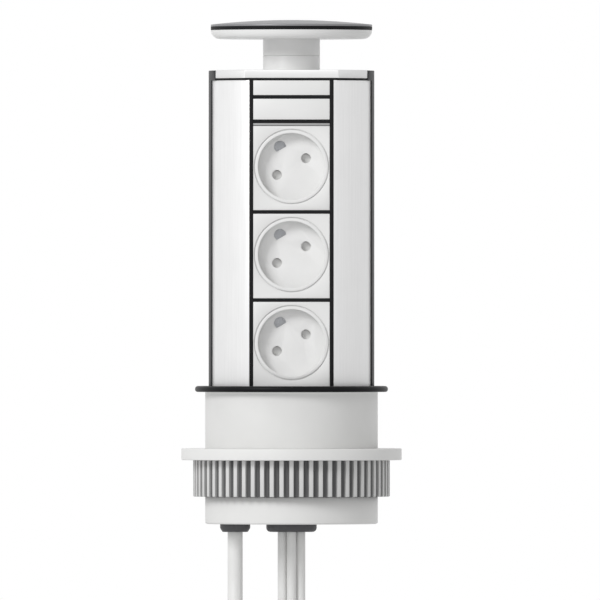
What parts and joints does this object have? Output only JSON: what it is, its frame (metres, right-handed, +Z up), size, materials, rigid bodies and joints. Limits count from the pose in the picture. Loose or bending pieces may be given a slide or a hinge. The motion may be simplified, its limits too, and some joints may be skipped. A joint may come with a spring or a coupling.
{
  "type": "pop up desk socket",
  "caption": "Round power tower that rises through a sleeve clamped in a desk, with recessed sockets, a pop-up lid, a ribbed clamping nut and hanging leads.",
  "frame": {"origin": "centre of the flange's underside, on the desk top", "axes": "+Z up along the tower, -Y towards the sockets, +X to the right seen from the front"},
  "size_m": [0.1256, 0.1436, 0.5283],
  "materials": {
    "flange_black": "satin",
    "sleeve_white": "fine texture",
    "clamp_white": "fine texture",
    "nut_grey": "fine texture",
    "aluminium": "light satin anodised",
    "cap_aluminium": "light satin anodised",
    "glide_dark": "matt",
    "seal_black": "matt",
    "steel": "bright zinc",
    "inner_dark": "matt",
    "carrier_black": "matt",
    "face_white": "soft gloss",
    "strip_grey": "matt",
    "housing_white": "matt",
    "shutter_white": "matt",
    "brass": "plain brass",
    "copper": "plain copper",
    "lead_sheath": "matt sheath",
    "gland_grey": "matt",
    "lid_grey": "fine brushed",
    "plug_white": "soft gloss",
    "clear_plastic": "clear"
  },
  "bodies": {
    "sleeve": {"flange_ring": "flange_black", "sleeve": "sleeve_white"},
    "tower": {"tower_profile": "aluminium", "glide_strips": "glide_dark", "cap_seal": "seal_black", "top_cap": "cap_aluminium", "cap_screws": "steel", "stem_guide": "inner_dark", "latch_cup": "inner_dark", "latch_spring": "steel", "module_carrier": "carrier_black", "blank_panel": "face_white", "name_panel": "face_white", "grey_strip": "strip_grey", "lower_panel": "sleeve_white", "socket_front_1": "face_white", "socket_front_2": "face_white", "socket_front_3": "face_white", "socket_floor_1": "face_white", "socket_floor_2": "face_white", "socket_floor_3": "face_white", "socket_housing_1": "housing_white", "socket_housing_2": "housing_white", "socket_housing_3": "housing_white", "shutter_spring_1": "steel", "shutter_spring_2": "steel", "shutter_spring_3": "steel", "live_contacts": "brass", "earth_contacts": "steel", "busbars": "copper", "terminal_block": "housing_white", "inner_leads": "lead_sheath", "data_block": "inner_dark", "end_cap": "sleeve_white", "mains_gland": "gland_grey", "data_gland": "gland_grey", "mains_lead": "lead_sheath", "mains_coil": "lead_sheath", "mains_plug": "plug_white", "mains_plug_pins": "steel", "data_lead_1": "lead_sheath", "data_lead_2": "lead_sheath", "data_lead_3": "lead_sheath", "data_coil_1": "lead_sheath", "data_coil_2": "lead_sheath", "data_coil_3": "lead_sheath", "data_plug_1": "clear_plastic", "data_plug_2": "clear_plastic", "data_plug_3": "clear_plastic"},
    "lid": {"lid_top": "lid_grey", "lid_gasket": "seal_black", "lid_dish": "face_white", "neck_collar": "face_white", "stem": "face_white", "latch_striker": "steel"},
    "clamp_ring": {"clamp_ring": "clamp_white"},
    "clamp_nut": {"clamp_nut": "nut_grey"},
    "shutter_1": {"shutter_1": "shutter_white"},
    "shutter_2": {"shutter_2": "shutter_white"},
    "shutter_3": {"shutter_3": "shutter_white"}
  },
  "joints": [
    {"name": "tower_slide", "type": "slide", "parent": "sleeve", "child": "tower", "axis": [0, 0, 1], "range_m": [-0.191, 0]},
    {"name": "lid_press", "type": "slide", "parent": "tower", "child": "lid", "axis": [0, 0, 1], "range_m": [-0.0175, 0], "stiffness_N_per_m": 250, "springref_m": 0.02, "deforming": ["latch_spring"]},
    {"name": "clamp_slide", "type": "slide", "parent": "sleeve", "child": "clamp_ring", "axis": [0, 0, 1], "range_m": [0, 0.022]},
    {"name": "nut_turn", "type": "hinge", "parent": "clamp_ring", "child": "clamp_nut", "pos_m": [0, 0, -0.049], "axis": [0, 0, 1], "range_deg": [0, 1580]},
    {"name": "shutter_1_slide", "type": "slide", "parent": "tower", "child": "shutter_1", "axis": [0, 0, 1], "range_m": [-0.0065, 0], "stiffness_N_per_m": 80, "springref_m": 0.005, "deforming": ["shutter_spring_1"]},
    {"name": "shutter_2_slide", "type": "slide", "parent": "tower", "child": "shutter_2", "axis": [0, 0, 1], "range_m": [-0.0065, 0], "stiffness_N_per_m": 80, "springref_m": 0.005, "deforming": ["shutter_spring_2"]},
    {"name": "shutter_3_slide", "type": "slide", "parent": "tower", "child": "shutter_3", "axis": [0, 0, 1], "range_m": [-0.0065, 0], "stiffness_N_per_m": 80, "springref_m": 0.005, "deforming": ["shutter_spring_3"]}
  ],
  "couplings": [
    {"joint": "clamp_slide", "follows": "nut_turn", "m_per_rad": 0.00079577}
  ]
}
